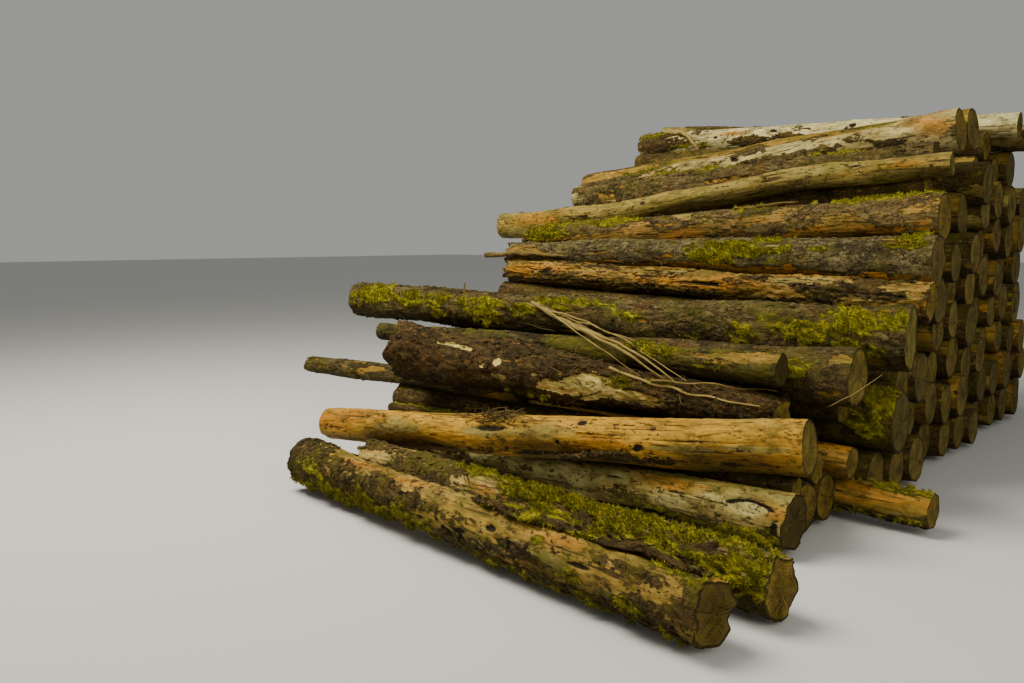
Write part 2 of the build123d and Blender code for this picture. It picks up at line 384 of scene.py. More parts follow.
class Shader:
    # a material whose nodes are added one by one
    def __init__(self, name):
        self.material = bpy.data.materials.new(name)
        self.material.use_nodes = True
        self.tree = self.material.node_tree
        self.tree.nodes.clear()

    def node(self, kind, settings, sockets, output=0):
        # any node, from its settings and the numbers or links of its sockets
        made = self.tree.nodes.new(kind)
        for key, value in settings.items():
            setattr(made, key, value)
        for key, value in sockets.items():
            if isinstance(value, Value):
                self.tree.links.new(value.socket, made.inputs[key])
            else:
                made.inputs[key].default_value = value
        return Value(self, made.outputs[output]) if len(made.outputs) else None

    def field(self, name, output=2):
        # an attribute of the mesh: output 2 is its number, output 1 its vector
        return self.node("ShaderNodeAttribute", {"attribute_name": name}, {}, output)

    def stretch(self, vector, scale):
        return self.node("ShaderNodeVectorMath", {"operation": "MULTIPLY"}, {0: vector, 1: scale})

    def bend(self, vector, scale, amount):
        # the vector moved about by a coloured noise
        push = self.node("ShaderNodeTexNoise", {},
                         {"Vector": vector, "Scale": scale, "Detail": 3.0}, 1)
        return self.node("ShaderNodeVectorMath", {"operation": "ADD"},
                         {0: vector, 1: self.stretch(push, (amount, amount, amount))})

    def noise(self, vector, scale, detail=3.0, roughness=0.55):
        return self.node("ShaderNodeTexNoise", {}, {"Vector": vector, "Scale": scale,
                                                    "Detail": detail, "Roughness": roughness})

    def streaks(self, vector, squash, scale, detail=3.0, roughness=0.55):
        # noise drawn out along the log, the more so the smaller squash is
        return self.noise(self.stretch(vector, (1, 1, squash)), scale, detail, roughness)

    def cells(self, vector, scale):
        return self.node("ShaderNodeTexVoronoi", {"feature": "DISTANCE_TO_EDGE"},
                         {"Vector": vector, "Scale": scale})

    def band(self, low, high, value):
        # 0 at low, 1 at high, smooth between; low may be the larger one
        return self.node("ShaderNodeMapRange", {"interpolation_type": "SMOOTHSTEP"},
                         {"Value": value, "From Min": low, "From Max": high})

    def mix(self, mask, first, second):
        colours = [c if isinstance(c, Value) else (*c, 1.0) for c in (first, second)]
        return self.node("ShaderNodeMix", {"data_type": "RGBA"},
                         {0: mask, 6: colours[0], 7: colours[1]}, 2)

    def finish(self, colour, roughness, height):
        normal = self.node("ShaderNodeBump", {},
                           {"Strength": 1.0, "Distance": 1.0, "Height": height})
        surface = self.node("ShaderNodeBsdfPrincipled", {},
                            {"Base Color": colour, "Roughness": roughness, "Normal": normal,
                             "Specular IOR Level": palette["shine"]})
        self.node("ShaderNodeOutputMaterial", {}, {"Surface": surface})
        return self.material


# the colours that all logs share; warmth multiplies every one of them
palette = {
    "warmth": (1.00, 1.03, 0.64), "shine": 0.12, "dirt": (0.012, 0.008, 0.005),
    "orangeWood": (0.470, 0.185, 0.018), "stain": (0.095, 0.056, 0.012),
    "blot": (0.048, 0.027, 0.007), "fleck": (0.026, 0.015, 0.006), "crack": (0.020, 0.012, 0.006),
    "redBark": (0.135, 0.058, 0.022), "lichen": (0.225, 0.200, 0.130),
    "peeledEdge": (0.380, 0.200, 0.055), "moss": (0.540, 0.465, 0.040),
    "deepMoss": (0.088, 0.086, 0.013), "mossFringe": (0.105, 0.094, 0.012),
    "haze": (0.120, 0.105, 0.008), "endAlgae": (0.085, 0.090, 0.012),
    # old darkens aged logs; the colour after it is painted shade for the undersides
    "old": (0.030, 0.020, 0.010), "shadeColour": (0.016, 0.010, 0.005),
}

# what any log has unless its own dictionary says otherwise; bark, bare, moss, orange, grey and dark
# are lists of patches (share from the left end, degrees from the top to the front, half length,
# half degrees, strength), and knots are (share, degrees, height, size)
plainLook = {
    # the fourth entry sets how strong the painted shade on a log's underside is
    "grid": (64, 120), "seed": 1, "hue": 0.5, "damp": 0.85, "rough": 0.004, "fineRough": 0.0008,
    "barkCover": 0.0, "barkBreak": 0.0, "barkThick": 0.007, "bark": [], "bare": [],
    "mossTop": 0.0, "mossThick": 0.010, "moss": [], "flakes": 0, "slivers": 0, "tufts": 0,
    "tintBase": 0.0, "orange": [], "grey": [], "dark": [], "darkDepth": 0.010,
    "scars": [], "scarDepth": 0.008, "knots": [], "tear": (0.0, 0.0),
    "woodLight": (0.440, 0.255, 0.062), "woodDark": (0.115, 0.056, 0.013),
    "woodGrey": (0.345, 0.275, 0.115), "flecks": 0.7, "mottle": 0.55, "haze": 0.3,
    "barkLight": (0.150, 0.092, 0.044), "barkDark": (0.017, 0.011, 0.006), "lichen": 0.3,
    "endLight": (0.250, 0.165, 0.032), "endDark": (0.055, 0.033, 0.009),
}


def woodColour(shade, look, place):
    # streaked wood, orange or grey by the tint field, with stains, clustered flecks and long cracks
    streak = shade.streaks(place, 0.10, 70, 4, 0.65)
    cloud = shade.streaks(place, 0.4, 9, 4, 0.6)
    patch = shade.streaks(shade.bend(place, 9, 0.12), 0.3, 17, 5, 0.65)
    tint = shade.field("tint") + (cloud - 0.5) * 1.2 + (patch - 0.5) * 0.7
    wood = shade.mix(shade.band(0.32, 0.64, streak * 0.6 + cloud * 0.4),
                     look["woodDark"], look["woodLight"])
    wood = shade.mix(shade.band(0.15, 0.85, tint) * 0.85, wood, palette["orangeWood"])
    wood = shade.mix(shade.band(-0.15, -0.75, tint) * 0.8, wood, look["woodGrey"])
    wood = shade.mix(shade.band(0.47, 0.66, patch) * 0.7, wood, palette["stain"])
    blot = shade.streaks(shade.bend(place, 14, 0.06), 0.45, 30, 6, 0.72)
    blot = shade.band(0.53, 0.62, blot) * shade.band(0.36, 0.60, shade.noise(place, 4.5, 3))
    blot = blot * look["mottle"]
    wood = shade.mix(blot, wood, palette["blot"])
    cluster = shade.band(0.38, 0.54, shade.noise(place, 6, 2))
    speck = shade.streaks(place, 0.5, 58, 4, 0.65)
    fleck = shade.band(0.56, 0.63, speck) * cluster * look["flecks"]
    crack = shade.streaks(place, 0.045, 55, 2, 0.5)
    split = shade.band(0.64, 0.69, crack) * 0.85
    wood = shade.mix(fleck, wood, palette["fleck"])
    wood = shade.mix(split, wood, palette["crack"])
    return wood, streak * 0.005 + patch * 0.003 - fleck * 0.003 - split * 0.005 - blot * 0.002


def barkColour(shade, look, place):
    # flaky bark: bent cells with broken dark edges, ridges along the grain, grey and red clouds
    bent = shade.bend(place, 24, 0.05)
    edge = shade.cells(shade.stretch(bent, (1, 1, 0.5)), 28)
    ridge = shade.streaks(bent, 0.3, 34, 6, 0.7)
    small = shade.noise(place, 70, 5, 0.7)
    cloud = shade.noise(place, 8, 4, 0.6)
    bark = shade.mix(shade.band(0.38, 0.62, small * 0.4 + ridge * 0.6),
                     look["barkDark"], look["barkLight"])
    bark = shade.mix(shade.band(0.54, 0.70, cloud) * 0.7, bark, palette["redBark"])
    worn = shade.streaks(bent, 0.6, 6.5, 5, 0.66)
    bark = shade.mix(shade.band(0.50, 0.60, worn) * 0.70, bark, look["barkDark"])
    bark = shade.mix(shade.band(0.57, 0.66, shade.noise(place, 19, 5, 0.68)) * look["lichen"],
                     bark, palette["lichen"])
    bark = shade.mix(shade.band(0.615, 0.660, ridge) * 0.8, bark, palette["peeledEdge"])
    seam = shade.band(0.09, 0.0, edge) * shade.band(0.40, 0.60, shade.noise(place, 15, 2))
    bark = shade.mix(seam * 0.85, bark, palette["dirt"])
    return bark, shade.band(0.0, 0.14, edge) * 0.004 + ridge * 0.014 + small * 0.004


def logMaterial(look):
    # bark over wood where the bark field is high, then green haze, dark spots and moss; old wood is
    # darker, and painted shade darkens the underside
    shade = Shader(look["node"] + "_finish")
    place = shade.field("grain", 1)
    ragged = shade.streaks(place, 0.5, 46, 6, 0.68) - 0.5
    wood, woodHeight = woodColour(shade, look, place)
    bark, barkHeight = barkColour(shade, look, place)
    barkMask = shade.band(0.43, 0.53, shade.field("bark") + ragged * 1.1)
    tuft = shade.noise(place, 85, 5, 0.72)
    mossMask = shade.band(0.40, 0.62, shade.field("moss") + ragged * 1.0)
    moss = shade.mix(shade.band(0.33, 0.66, tuft * 0.65 + shade.noise(place, 13) * 0.35),
                     palette["deepMoss"], palette["moss"])
    haze = shade.band(0.42, 0.66, shade.noise(place, 6.5, 5, 0.62)) * look["haze"]
    colour = shade.mix(barkMask, wood, bark)
    colour = shade.mix(haze, colour, palette["haze"])
    colour = shade.mix(shade.band(0.3, 0.7, shade.field("dark") + ragged * 0.5), colour,
                       palette["dirt"])
    fringe = shade.band(0.10, 0.50, shade.field("moss") + ragged * 0.8) * 0.6
    colour = shade.mix(fringe, colour, palette["mossFringe"])
    colour = shade.mix(mossMask, colour, moss)
    age = shade.field("hue")
    colour = shade.mix(0.35, colour, shade.mix(age, palette["old"], colour))
    # painted shade: the underside is mixed towards a near-black shade colour, less where moss lies
    damp = shade.field("damp") * (0.9 - mossMask * 0.3)
    colour = shade.mix(damp, colour, shade.mix(0.80, colour, palette["shadeColour"]))
    height = woodHeight * (1 - barkMask) + barkHeight * barkMask
    height = height + barkMask * 0.004 + mossMask * tuft * 0.014
    roughness = 0.70 + barkMask * 0.18 + mossMask * 0.06
    return shade.finish(shade.stretch(colour, palette["warmth"]), roughness, height)


def endMaterial(look):
    # weathered sawn end: rings by distance from the heart, stains, radial cracks and a dark rim
    shade = Shader(look["node"] + "_sawn_end")
    place = shade.field("grain", 1)
    reach = shade.field("reach")
    wobble = shade.noise(place, 14, 3) - 0.5
    ring = (reach + wobble * 0.14) * 58.0
    ring = ring.math("SINE", ring)
    stain = shade.noise(place, 10, 5, 0.65)
    grit = shade.noise(place, 110, 4, 0.7)
    colour = shade.mix(shade.band(0.34, 0.62, stain * 0.7 + grit * 0.3),
                       look["endDark"], look["endLight"])
    colour = shade.mix(shade.band(0.0, 0.9, ring) * 0.4, colour, look["endDark"])
    colour = shade.mix(shade.band(0.52, 0.68, shade.noise(place, 16, 4, 0.6)) * 0.55, colour,
                       palette["endAlgae"])
    colour = shade.mix(shade.band(0.66, 0.72, shade.noise(place, 31, 4, 0.6)) * 0.8, colour,
                       palette["dirt"])
    spoke = shade.node("ShaderNodeVectorMath", {"operation": "NORMALIZE"},
                       {0: shade.stretch(shade.field("face", 1), (1, 1, 0))})
    spoke = shade.node("ShaderNodeVectorMath", {"operation": "ADD"},
                       {0: spoke, 1: shade.stretch(shade.field("face", 1), (0, 0, 1.37))})
    ray = shade.noise(spoke, 5.5, 2) - 0.5
    crack = shade.band(0.018, 0.006, ray.math("ABSOLUTE", ray))
    crack = crack * shade.band(0.05, 0.15, reach) * shade.band(0.98, 0.45, reach + wobble * 1.6)
    colour = shade.mix(crack * 0.9, colour, palette["dirt"])
    rim = shade.band(0.88, 0.96, reach + wobble * 0.10)
    colour = shade.mix(rim * 0.9, colour, look["barkDark"])
    colour = shade.mix(shade.band(0.06, 0.02, reach), colour, palette["dirt"])
    age = shade.field("hue")
    colour = shade.mix(0.5, colour, shade.mix(age, palette["old"], colour))
    height = grit * 0.003 + ring * 0.0007 - rim * 0.004 - crack * 0.004
    return shade.finish(shade.stretch(colour, palette["warmth"]), 0.85, height)


laid, finishes = {}, {}  # the grid and the finish of each log, by its node


def makeLog(changes):
    # one log from its dictionary, with bark flakes, wood slivers and moss tufts scattered on it
    look = {**plainLook, **changes}
    chance = np.random.default_rng(look["seed"])
    grid = logGrid(nodeLogs(look["node"])[0], look, chance)
    bark, moss = grid["fields"]["bark"], grid["fields"]["moss"]
    likely = {"flakes": 0.001 + smoothStep(0.35, 0.7, bark) * smoothStep(0.6, 0.3, moss),
              "slivers": 0.001 + smoothStep(0.6, 0.3, bark),
              "tufts": 0.0001 + smoothStep(0.45, 0.9, moss)}
    grids = [grid] + [scatter(grid, chance, litter[kind], weights, look[kind])
                      for kind, weights in likely.items() if look[kind]]
    finishes[look["node"]] = logMaterial(look)
    addPiece(look["node"] + "_dressed", look["node"], grids,
             [finishes[look["node"]], endMaterial(look)])
    laid[look["node"]] = grid
    print("made", look["node"], sum(2 * len(one["quads"]) + len(one["tris"]) for one in grids))


frontLog = {
    "node": "front_log", "seed": 11, "grid": (104, 200), "rough": 0.006, "flecks": 1.0, "haze": 0.6,
    "mottle": 1.0, "woodLight": (0.500, 0.305, 0.088), "woodDark": (0.135, 0.078, 0.020),
    "flakes": 650, "tufts": 1800,
    "bark": [(0.12, 95, 0.20, 50, 1), (0.36, 80, 0.10, 40, 1), (0.33, 45, 0.045, 14, 0.8),
             (0.03, 60, 0.10, 90, 0.8), (0.70, 88, 0.05, 16, 0.7), (0.93, 105, 0.06, 30, 0.6),
             (0.78, 140, 0.30, 22, 0.8), (0.90, 45, 0.07, 14, 0.55), (0.99, 60, 0.03, 60, 0.6),
             (0.6, -25, 0.35, 22, 0.9), (0.52, 72, 0.10, 22, 0.45), (0.64, 100, 0.08, 16, 0.5),
             (0.48, 120, 0.10, 18, 0.7)],
    "moss": [(0.42, 112, 0.08, 28, 0.7), (0.56, 150, 0.35, 22, 0.6), (0.79, 98, 0.035, 24, 0.8),
             (0.20, 125, 0.20, 34, 0.75), (0.97, 20, 0.05, 20, 0.7), (0.28, 100, 0.06, 24, 0.7),
             (0.72, 50, 0.02, 14, 0.6), (0.10, 80, 0.05, 20, 0.6), (0.90, 110, 0.05, 16, 0.6),
             (0.60, 88, 0.04, 14, 0.5), (0.50, 60, 0.03, 12, 0.45)],
    "orange": [(0.29, 28, 0.16, 14, 0.9), (0.83, 34, 0.06, 10, 0.6)],
    "grey": [(0.61, 112, 0.05, 18, 0.9), (0.86, 108, 0.06, 12, 0.8), (0.72, 75, 0.05, 10, 0.7)],
    "dark": [(0.517, 105, 0.016, 11, 1), (0.554, 92, 0.018, 8, 1), (0.556, 112, 0.006, 18, 1),
             (0.62, 62, 0.010, 7, 1), (0.40, 60, 0.02, 12, 0.8), (0.45, 95, 0.012, 10, 0.8),
             (0.66, 85, 0.02, 9, 0.8), (0.80, 70, 0.02, 6, 0.8)],
    "knots": [(0.3, 60, 0.014, 0.07), (0.52, 100, 0.010, 0.05), (0.75, 60, 0.010, 0.08)],
    "tear": (0.03, 0.03), "endLight": (0.130, 0.092, 0.022),
}
makeLog(frontLog)

mossyFrontLog = {
    "node": "mossy_front_log", "seed": 23, "grid": (104, 200), "rough": 0.007, "barkCover": 0.62,
    "barkBreak": 0.16, "mossThick": 0.014, "haze": 0.7, "woodLight": (0.620, 0.450, 0.210),
    "flakes": 400, "tufts": 5200,
    "bare": [(0.42, 60, 0.06, 40, 0.8), (0.78, 104, 0.060, 16, 1.4), (0.64, 80, 0.03, 9, 0.8)],
    "moss": [(0.70, 5, 0.26, 42, 1.0), (0.62, 70, 0.08, 26, 0.7), (0.80, 65, 0.10, 26, 0.8),
             (0.95, 60, 0.09, 50, 0.9), (0.55, 30, 0.08, 34, 0.95), (0.70, 110, 0.03, 14, 0.6)],
    "grey": [(0.78, 104, 0.06, 18, 0.6)],
    "dark": [(0.70, 80, 0.03, 12, 0.8), (0.58, 85, 0.02, 12, 0.8), (0.88, 105, 0.03, 9, 0.8)],
    "knots": [(0.6, 40, 0.016, 0.09), (0.9, 30, 0.012, 0.08)],
    "tear": (0.05, 0.02),
}
makeLog(mossyFrontLog)

scarredLog = {
    "node": "scarred_log", "seed": 37, "grid": (96, 190), "rough": 0.005, "flecks": 1.0,
    "haze": 0.5, "mottle": 0.9, "woodLight": (0.480, 0.340, 0.145),
    "woodDark": (0.150, 0.100, 0.036), "tintBase": -0.15, "woodGrey": (0.520, 0.450, 0.270),
    "barkCover": 0.12, "barkBreak": 0.12, "flakes": 120, "tufts": 1800, "slivers": 60,
    "bark": [(0.10, 60, 0.12, 50, 0.7), (0.985, 118, 0.02, 22, 0.9), (0.68, 95, 0.05, 24, 0.5)],
    "moss": [(0.16, 25, 0.12, 28, 0.9), (0.92, 128, 0.08, 24, 0.9), (0.80, 140, 0.10, 20, 0.8),
             (0.3, 10, 0.1, 20, 0.7), (0.70, 120, 0.05, 14, 0.6)],
    "grey": [(0.45, 60, 0.20, 40, 0.9), (0.66, 50, 0.10, 22, 0.6)],
    "orange": [(0.76, 40, 0.10, 22, 0.9), (0.97, 60, 0.03, 30, 0.6)],
    "dark": [(0.985, 95, 0.012, 20, 1), (0.80, 62, 0.03, 4, 0.7), (0.66, 52, 0.02, 4, 0.7)],
    "scars": [(0.935, 62, 0.036, 17)],
    "knots": [(0.62, 70, 0.008, 0.05), (0.935, 58, 0.007, 0.06)],
    "tear": (0.09, 0.012), "endLight": (0.050, 0.038, 0.014),
}
makeLog(scarredLog)

goldenLog = {
    "node": "golden_log", "seed": 41, "grid": (96, 180), "flecks": 1.0, "haze": 0.25, "damp": 1.0,
    "mottle": 0.45, "woodLight": (0.680, 0.365, 0.055), "woodDark": (0.290, 0.130, 0.016),
    "tintBase": -0.05, "slivers": 40,
    "orange": [(0.10, 45, 0.10, 45, 0.8), (0.92, 60, 0.06, 16, 0.7), (0.70, 85, 0.10, 14, 0.5),
               (0.5, 95, 0.2, 12, 0.5)],
    "grey": [(0.20, 75, 0.09, 14, 1.1), (0.42, 75, 0.04, 16, 0.8), (0.81, 92, 0.05, 7, 1.2),
             (0.93, 86, 0.05, 8, 1.2)],
    "bark": [(0.62, 128, 0.26, 14, 0.55)],
    "dark": [(0.579, 88, 0.004, 24, 0.9), (0.629, 40, 0.008, 6, 1), (0.735, 92, 0.010, 8, 0.9),
             (0.44, 60, 0.03, 10, 0.7), (0.70, 66, 0.10, 2, 0.55), (0.84, 62, 0.12, 2, 0.6),
             (0.78, 74, 0.14, 2, 0.55), (0.89, 52, 0.010, 4, 0.8)],
    "knots": [(0.629, 40, 0.010, 0.04), (0.735, 92, 0.012, 0.05), (0.45, 50, 0.006, 0.06)],
    "endLight": (0.250, 0.170, 0.042), "tear": (0.02, 0.0),
}
makeLog(goldenLog)

thinPole = {
    "node": "thin_pole", "seed": 43, "grid": (40, 80), "barkCover": 0.7,
    "moss": [(0.2, 0, 0.2, 50, 0.9)],
}
makeLog(thinPole)

smallOrangeLog = {
    "node": "small_orange_log", "seed": 47, "grid": (56, 90), "woodLight": (0.480, 0.250, 0.060),
    "orange": [(0.95, 60, 0.1, 60, 0.5)], "barkCover": 0.15, "barkBreak": 0.15, "haze": 0.4,
}
makeLog(smallOrangeLog)

orangeFloorLog = {
    "node": "orange_floor_log", "seed": 53, "woodLight": (0.480, 0.270, 0.070), "haze": 0.5,
    "orange": [(0.90, 60, 0.12, 40, 0.6)],
    "moss": [(0.93, 0, 0.08, 30, 0.8), (0.85, 125, 0.1, 25, 0.7)],
    "bark": [(0.9, 140, 0.2, 30, 0.9), (0.97, 20, 0.03, 20, 0.5)],
    "tear": (0, 0.004), "tufts": 500, "flakes": 60,
}
makeLog(orangeFloorLog)

mossToppedLog = {
    "node": "moss_topped_log", "seed": 59, "grid": (80, 120), "barkCover": 0.85, "barkBreak": 0.1,
    "mossThick": 0.016, "haze": 0.9,
    "moss": [(0.90, 15, 0.18, 50, 1.0), (0.7, 20, 0.2, 40, 0.9), (0.96, 75, 0.04, 35, 0.8)],
    "bare": [(0.86, 75, 0.05, 12, 0.8)], "tufts": 3000, "flakes": 120, "damp": 0.95,
    "endLight": (0.110, 0.092, 0.022),
}
makeLog(mossToppedLog)

strayPole = {
    "node": "stray_pole", "seed": 61, "grid": (48, 80), "barkCover": 0.75, "barkBreak": 0.25,
    "tear": (0.03, 0), "barkLight": (0.160, 0.112, 0.062), "flakes": 60, "haze": 0.5,
}
makeLog(strayPole)

lumpyBarkLog = {
    "node": "lumpy_bark_log", "seed": 67, "grid": (104, 190), "rough": 0.013, "fineRough": 0.003,
    "barkCover": 1.0, "barkThick": 0.014, "barkLight": (0.115, 0.064, 0.031), "lichen": 0.25,
    "haze": 0.10, "flecks": 0.8, "flakes": 1100, "mottle": 0.3, "woodLight": (0.880, 0.700, 0.360),
    "woodDark": (0.520, 0.350, 0.130), "tufts": 500, "damp": 0.3,
    "bare": [(0.20, 50, 0.045, 6, 1.3), (0.345, 72, 0.012, 12, 1.2), (0.31, 84, 0.012, 5, 1.1),
             (0.36, 100, 0.02, 5, 1.0), (0.58, 90, 0.075, 30, 1.35), (0.50, 104, 0.05, 16, 1.2),
             (0.69, 104, 0.07, 22, 1.1), (0.45, 85, 0.02, 6, 0.9)],
    "moss": [(0.66, 60, 0.03, 25, 0.6), (0.45, 130, 0.06, 14, 0.6), (0.74, 40, 0.04, 20, 0.6)],
    "orange": [(0.50, 112, 0.06, 14, 0.6), (0.85, 60, 0.05, 20, 0.6)],
    "knots": [(0.05, 80, 0.030, 0.12), (0.20, 110, 0.022, 0.10), (0.38, 95, 0.020, 0.08),
              (0.12, 20, 0.020, 0.1), (0.70, 70, 0.02, 0.07), (0.88, 60, 0.012, 0.06)],
    "tear": (0.06, 0.02),
}
makeLog(lumpyBarkLog)

thinGreenLog = {
    "node": "thin_green_log", "seed": 71, "grid": (64, 110), "barkCover": 0.68, "barkBreak": 0.18,
    "haze": 0.8, "barkLight": (0.120, 0.100, 0.045),
    "bare": [(0.95, 35, 0.05, 26, 1.0), (0.84, 50, 0.05, 12, 0.9)],
    "bark": [(0.25, 60, 0.45, 150, 1.0)], "dark": [(0.20, 90, 0.35, 150, 0.42)],
    "moss": [(0.75, 40, 0.08, 30, 0.7), (0.88, 90, 0.05, 16, 0.55)],
    "flakes": 120, "tufts": 400, "endLight": (0.055, 0.045, 0.016),
}
makeLog(thinGreenLog)

redBarkLog = {
    "node": "red_bark_log", "seed": 73, "grid": (84, 150), "rough": 0.006, "barkCover": 0.9,
    "barkBreak": 0.1, "barkLight": (0.150, 0.095, 0.055), "haze": 0.55, "lichen": 0.5,
    "flakes": 350, "tufts": 1200,
    "bare": [(0.985, 42, 0.030, 13, 1.2), (0.97, 118, 0.025, 9, 0.8)],
    "moss": [(0.90, 75, 0.03, 20, 0.8), (0.72, 70, 0.07, 30, 0.8), (0.86, 60, 0.03, 20, 0.7),
             (0.6, 50, 0.05, 20, 0.7)],
    "orange": [(0.97, 118, 0.04, 20, 0.7), (0.80, 110, 0.06, 20, 0.5)],
    "dark": [(0.66, 60, 0.05, 8, 0.8)], "endLight": (0.240, 0.175, 0.046),
}
makeLog(redBarkLog)

longMossyLog = {
    "node": "long_mossy_log", "seed": 79, "grid": (100, 220), "rough": 0.007, "fineRough": 0.002,
    "barkCover": 1.0, "barkThick": 0.012, "barkLight": (0.175, 0.120, 0.066), "lichen": 0.6,
    "haze": 0.45, "flakes": 1100, "tufts": 4200,
    "bare": [(0.345, 108, 0.02, 10, 1.2), (0.93, 140, 0.05, 10, 1), (0.62, 80, 0.02, 6, 0.7)],
    "moss": [(0.06, 60, 0.05, 45, 0.9), (0.15, 65, 0.05, 30, 0.9), (0.22, 85, 0.03, 25, 0.8),
             (0.33, 80, 0.035, 40, 0.95), (0.41, 70, 0.035, 22, 0.85), (0.48, 45, 0.07, 24, 0.8),
             (0.28, 60, 0.03, 20, 0.75), (0.955, 52, 0.055, 26, 1.1), (0.885, 78, 0.045, 30, 0.95),
             (0.92, 105, 0.04, 22, 0.8), (0.78, 95, 0.02, 22, 0.7), (0.60, 70, 0.04, 14, 0.6),
             (0.83, 60, 0.03, 20, 0.6), (0.70, 110, 0.02, 14, 0.6)],
    "orange": [(0.345, 108, 0.03, 12, 0.4), (0.93, 145, 0.05, 12, 0.6)],
    "endLight": (0.270, 0.215, 0.050), "damp": 0.9,
}
makeLog(longMossyLog)

splinteredLog = {
    "node": "splintered_log", "seed": 83, "grid": (84, 180), "rough": 0.010, "fineRough": 0.004,
    "flecks": 1.0, "woodLight": (0.430, 0.250, 0.080), "woodDark": (0.110, 0.058, 0.020),
    "tintBase": 0.05, "haze": 0.35, "barkCover": 0.28, "barkBreak": 0.22,
    "bark": [(0.85, 70, 0.12, 20, 0.6)], "slivers": 420, "flakes": 250,
    "grey": [(0.83, 60, 0.15, 30, 0.6)],
    "orange": [(0.5, 70, 0.25, 22, 0.6), (0.1, 70, 0.1, 30, 0.7)],
    "dark": [(0.15, 70, 0.02, 20, 0.7), (0.42, 60, 0.03, 8, 0.7), (0.56, 80, 0.05, 6, 0.8),
             (0.72, 60, 0.06, 6, 0.8), (0.88, 75, 0.08, 4, 0.8)],
    "tear": (0.08, 0.02),
}
makeLog(splinteredLog)

greyMossyLog = {
    "node": "grey_mossy_log", "seed": 89, "grid": (84, 150), "rough": 0.007, "barkCover": 0.85,
    "barkBreak": 0.14, "barkLight": (0.235, 0.185, 0.125), "lichen": 0.8, "haze": 0.35,
    "flakes": 450, "tufts": 2600, "slivers": 160,
    "bare": [(0.60, 130, 0.35, 18, 0.8), (0.08, 90, 0.05, 40, 0.7), (0.28, 80, 0.03, 10, 0.5)],
    "moss": [(0.62, 60, 0.095, 40, 1.1), (0.55, 80, 0.05, 25, 0.9), (0.955, 25, 0.035, 26, 1.0),
             (0.79, 60, 0.02, 12, 0.7), (0.70, 100, 0.03, 12, 0.6)],
    "orange": [(0.6, 130, 0.35, 25, 0.7)], "tear": (0.05, 0.01), "endLight": (0.180, 0.130, 0.040),
}
makeLog(greyMossyLog)

pinkBarkLog = {
    "node": "pink_bark_log", "seed": 97, "grid": (84, 150), "rough": 0.006, "barkCover": 0.72,
    "barkBreak": 0.2, "barkLight": (0.250, 0.160, 0.095), "lichen": 0.5, "haze": 0.35,
    "woodLight": (0.420, 0.240, 0.080), "flakes": 450,
    "bare": [(0.35, 105, 0.25, 26, 0.6), (0.85, 115, 0.15, 22, 0.6), (0.62, 70, 0.06, 12, 0.6)],
    "slivers": 160,
    "moss": [(0.90, 5, 0.13, 22, 1.0), (0.08, 60, 0.09, 50, 0.95), (0.25, 30, 0.12, 25, 0.8),
             (0.62, 10, 0.05, 20, 0.7)],
    "orange": [(0.35, 105, 0.25, 30, 0.5), (0.9, 120, 0.15, 20, 0.5)],
    "tufts": 2200,
}
makeLog(pinkBarkLog)

snakeLog = {
    "node": "snake_log", "seed": 101, "grid": (72, 170), "rough": 0.007,
    "woodLight": (0.430, 0.305, 0.105), "woodDark": (0.120, 0.076, 0.027), "flecks": 0.9,
    "haze": 0.5, "tintBase": -0.05, "barkCover": 0.1, "barkBreak": 0.16,
    "orange": [(0.1, 60, 0.1, 40, 0.5)], "grey": [(0.72, 70, 0.14, 30, 0.4)],
    "moss": [(0.3, 150, 0.2, 20, 0.6)],
    "dark": [(0.40, 70, 0.008, 8, 0.8), (0.58, 60, 0.008, 7, 0.8), (0.25, 80, 0.01, 7, 0.8),
             (0.84, 60, 0.01, 7, 0.8)],
    "knots": [(0.45, 60, 0.014, 0.08), (0.6, 80, 0.010, 0.06), (0.2, 70, 0.010, 0.07),
              (0.8, 50, 0.012, 0.07)],
    "endLight": (0.300, 0.215, 0.080),
}
makeLog(snakeLog)

roughBarkLog = {
    "node": "rough_bark_log", "seed": 103, "grid": (84, 150), "rough": 0.010, "fineRough": 0.003,
    "barkCover": 0.9, "barkBreak": 0.1, "barkThick": 0.014, "barkLight": (0.180, 0.122, 0.070),
    "lichen": 0.5, "flakes": 700, "tufts": 600,
    "bare": [(0.10, 60, 0.06, 20, 0.5), (0.5, 70, 0.10, 10, 0.6)],
    "moss": [(0.35, 0, 0.12, 20, 0.7), (0.75, 10, 0.1, 18, 0.6)],
    "endLight": (0.110, 0.080, 0.034), "tear": (0.03, 0.01),
}
makeLog(roughBarkLog)

edgeLog = {
    "node": "edge_log", "seed": 107, "grid": (80, 150), "rough": 0.006, "barkCover": 0.22,
    "barkBreak": 0.2, "haze": 0.35, "barkLight": (0.170, 0.115, 0.066),
    "orange": [(0.9, 60, 0.15, 50, 0.5), (0.4, 40, 0.1, 30, 0.4)],
    "flakes": 250, "woodLight": (0.640, 0.510, 0.310), "woodDark": (0.260, 0.180, 0.085),
    "tintBase": -0.25, "slivers": 60, "woodGrey": (0.500, 0.420, 0.270),
    "dark": [(0.5, 60, 0.010, 8, 0.9), (0.7, 50, 0.008, 7, 0.8), (0.3, 70, 0.008, 8, 0.8)],
    "bark": [(0.15, 60, 0.12, 60, 0.8), (0.62, 95, 0.12, 24, 0.7)],
    "moss": [(0.2, 20, 0.1, 20, 0.6)], "tufts": 200,
}
makeLog(edgeLog)

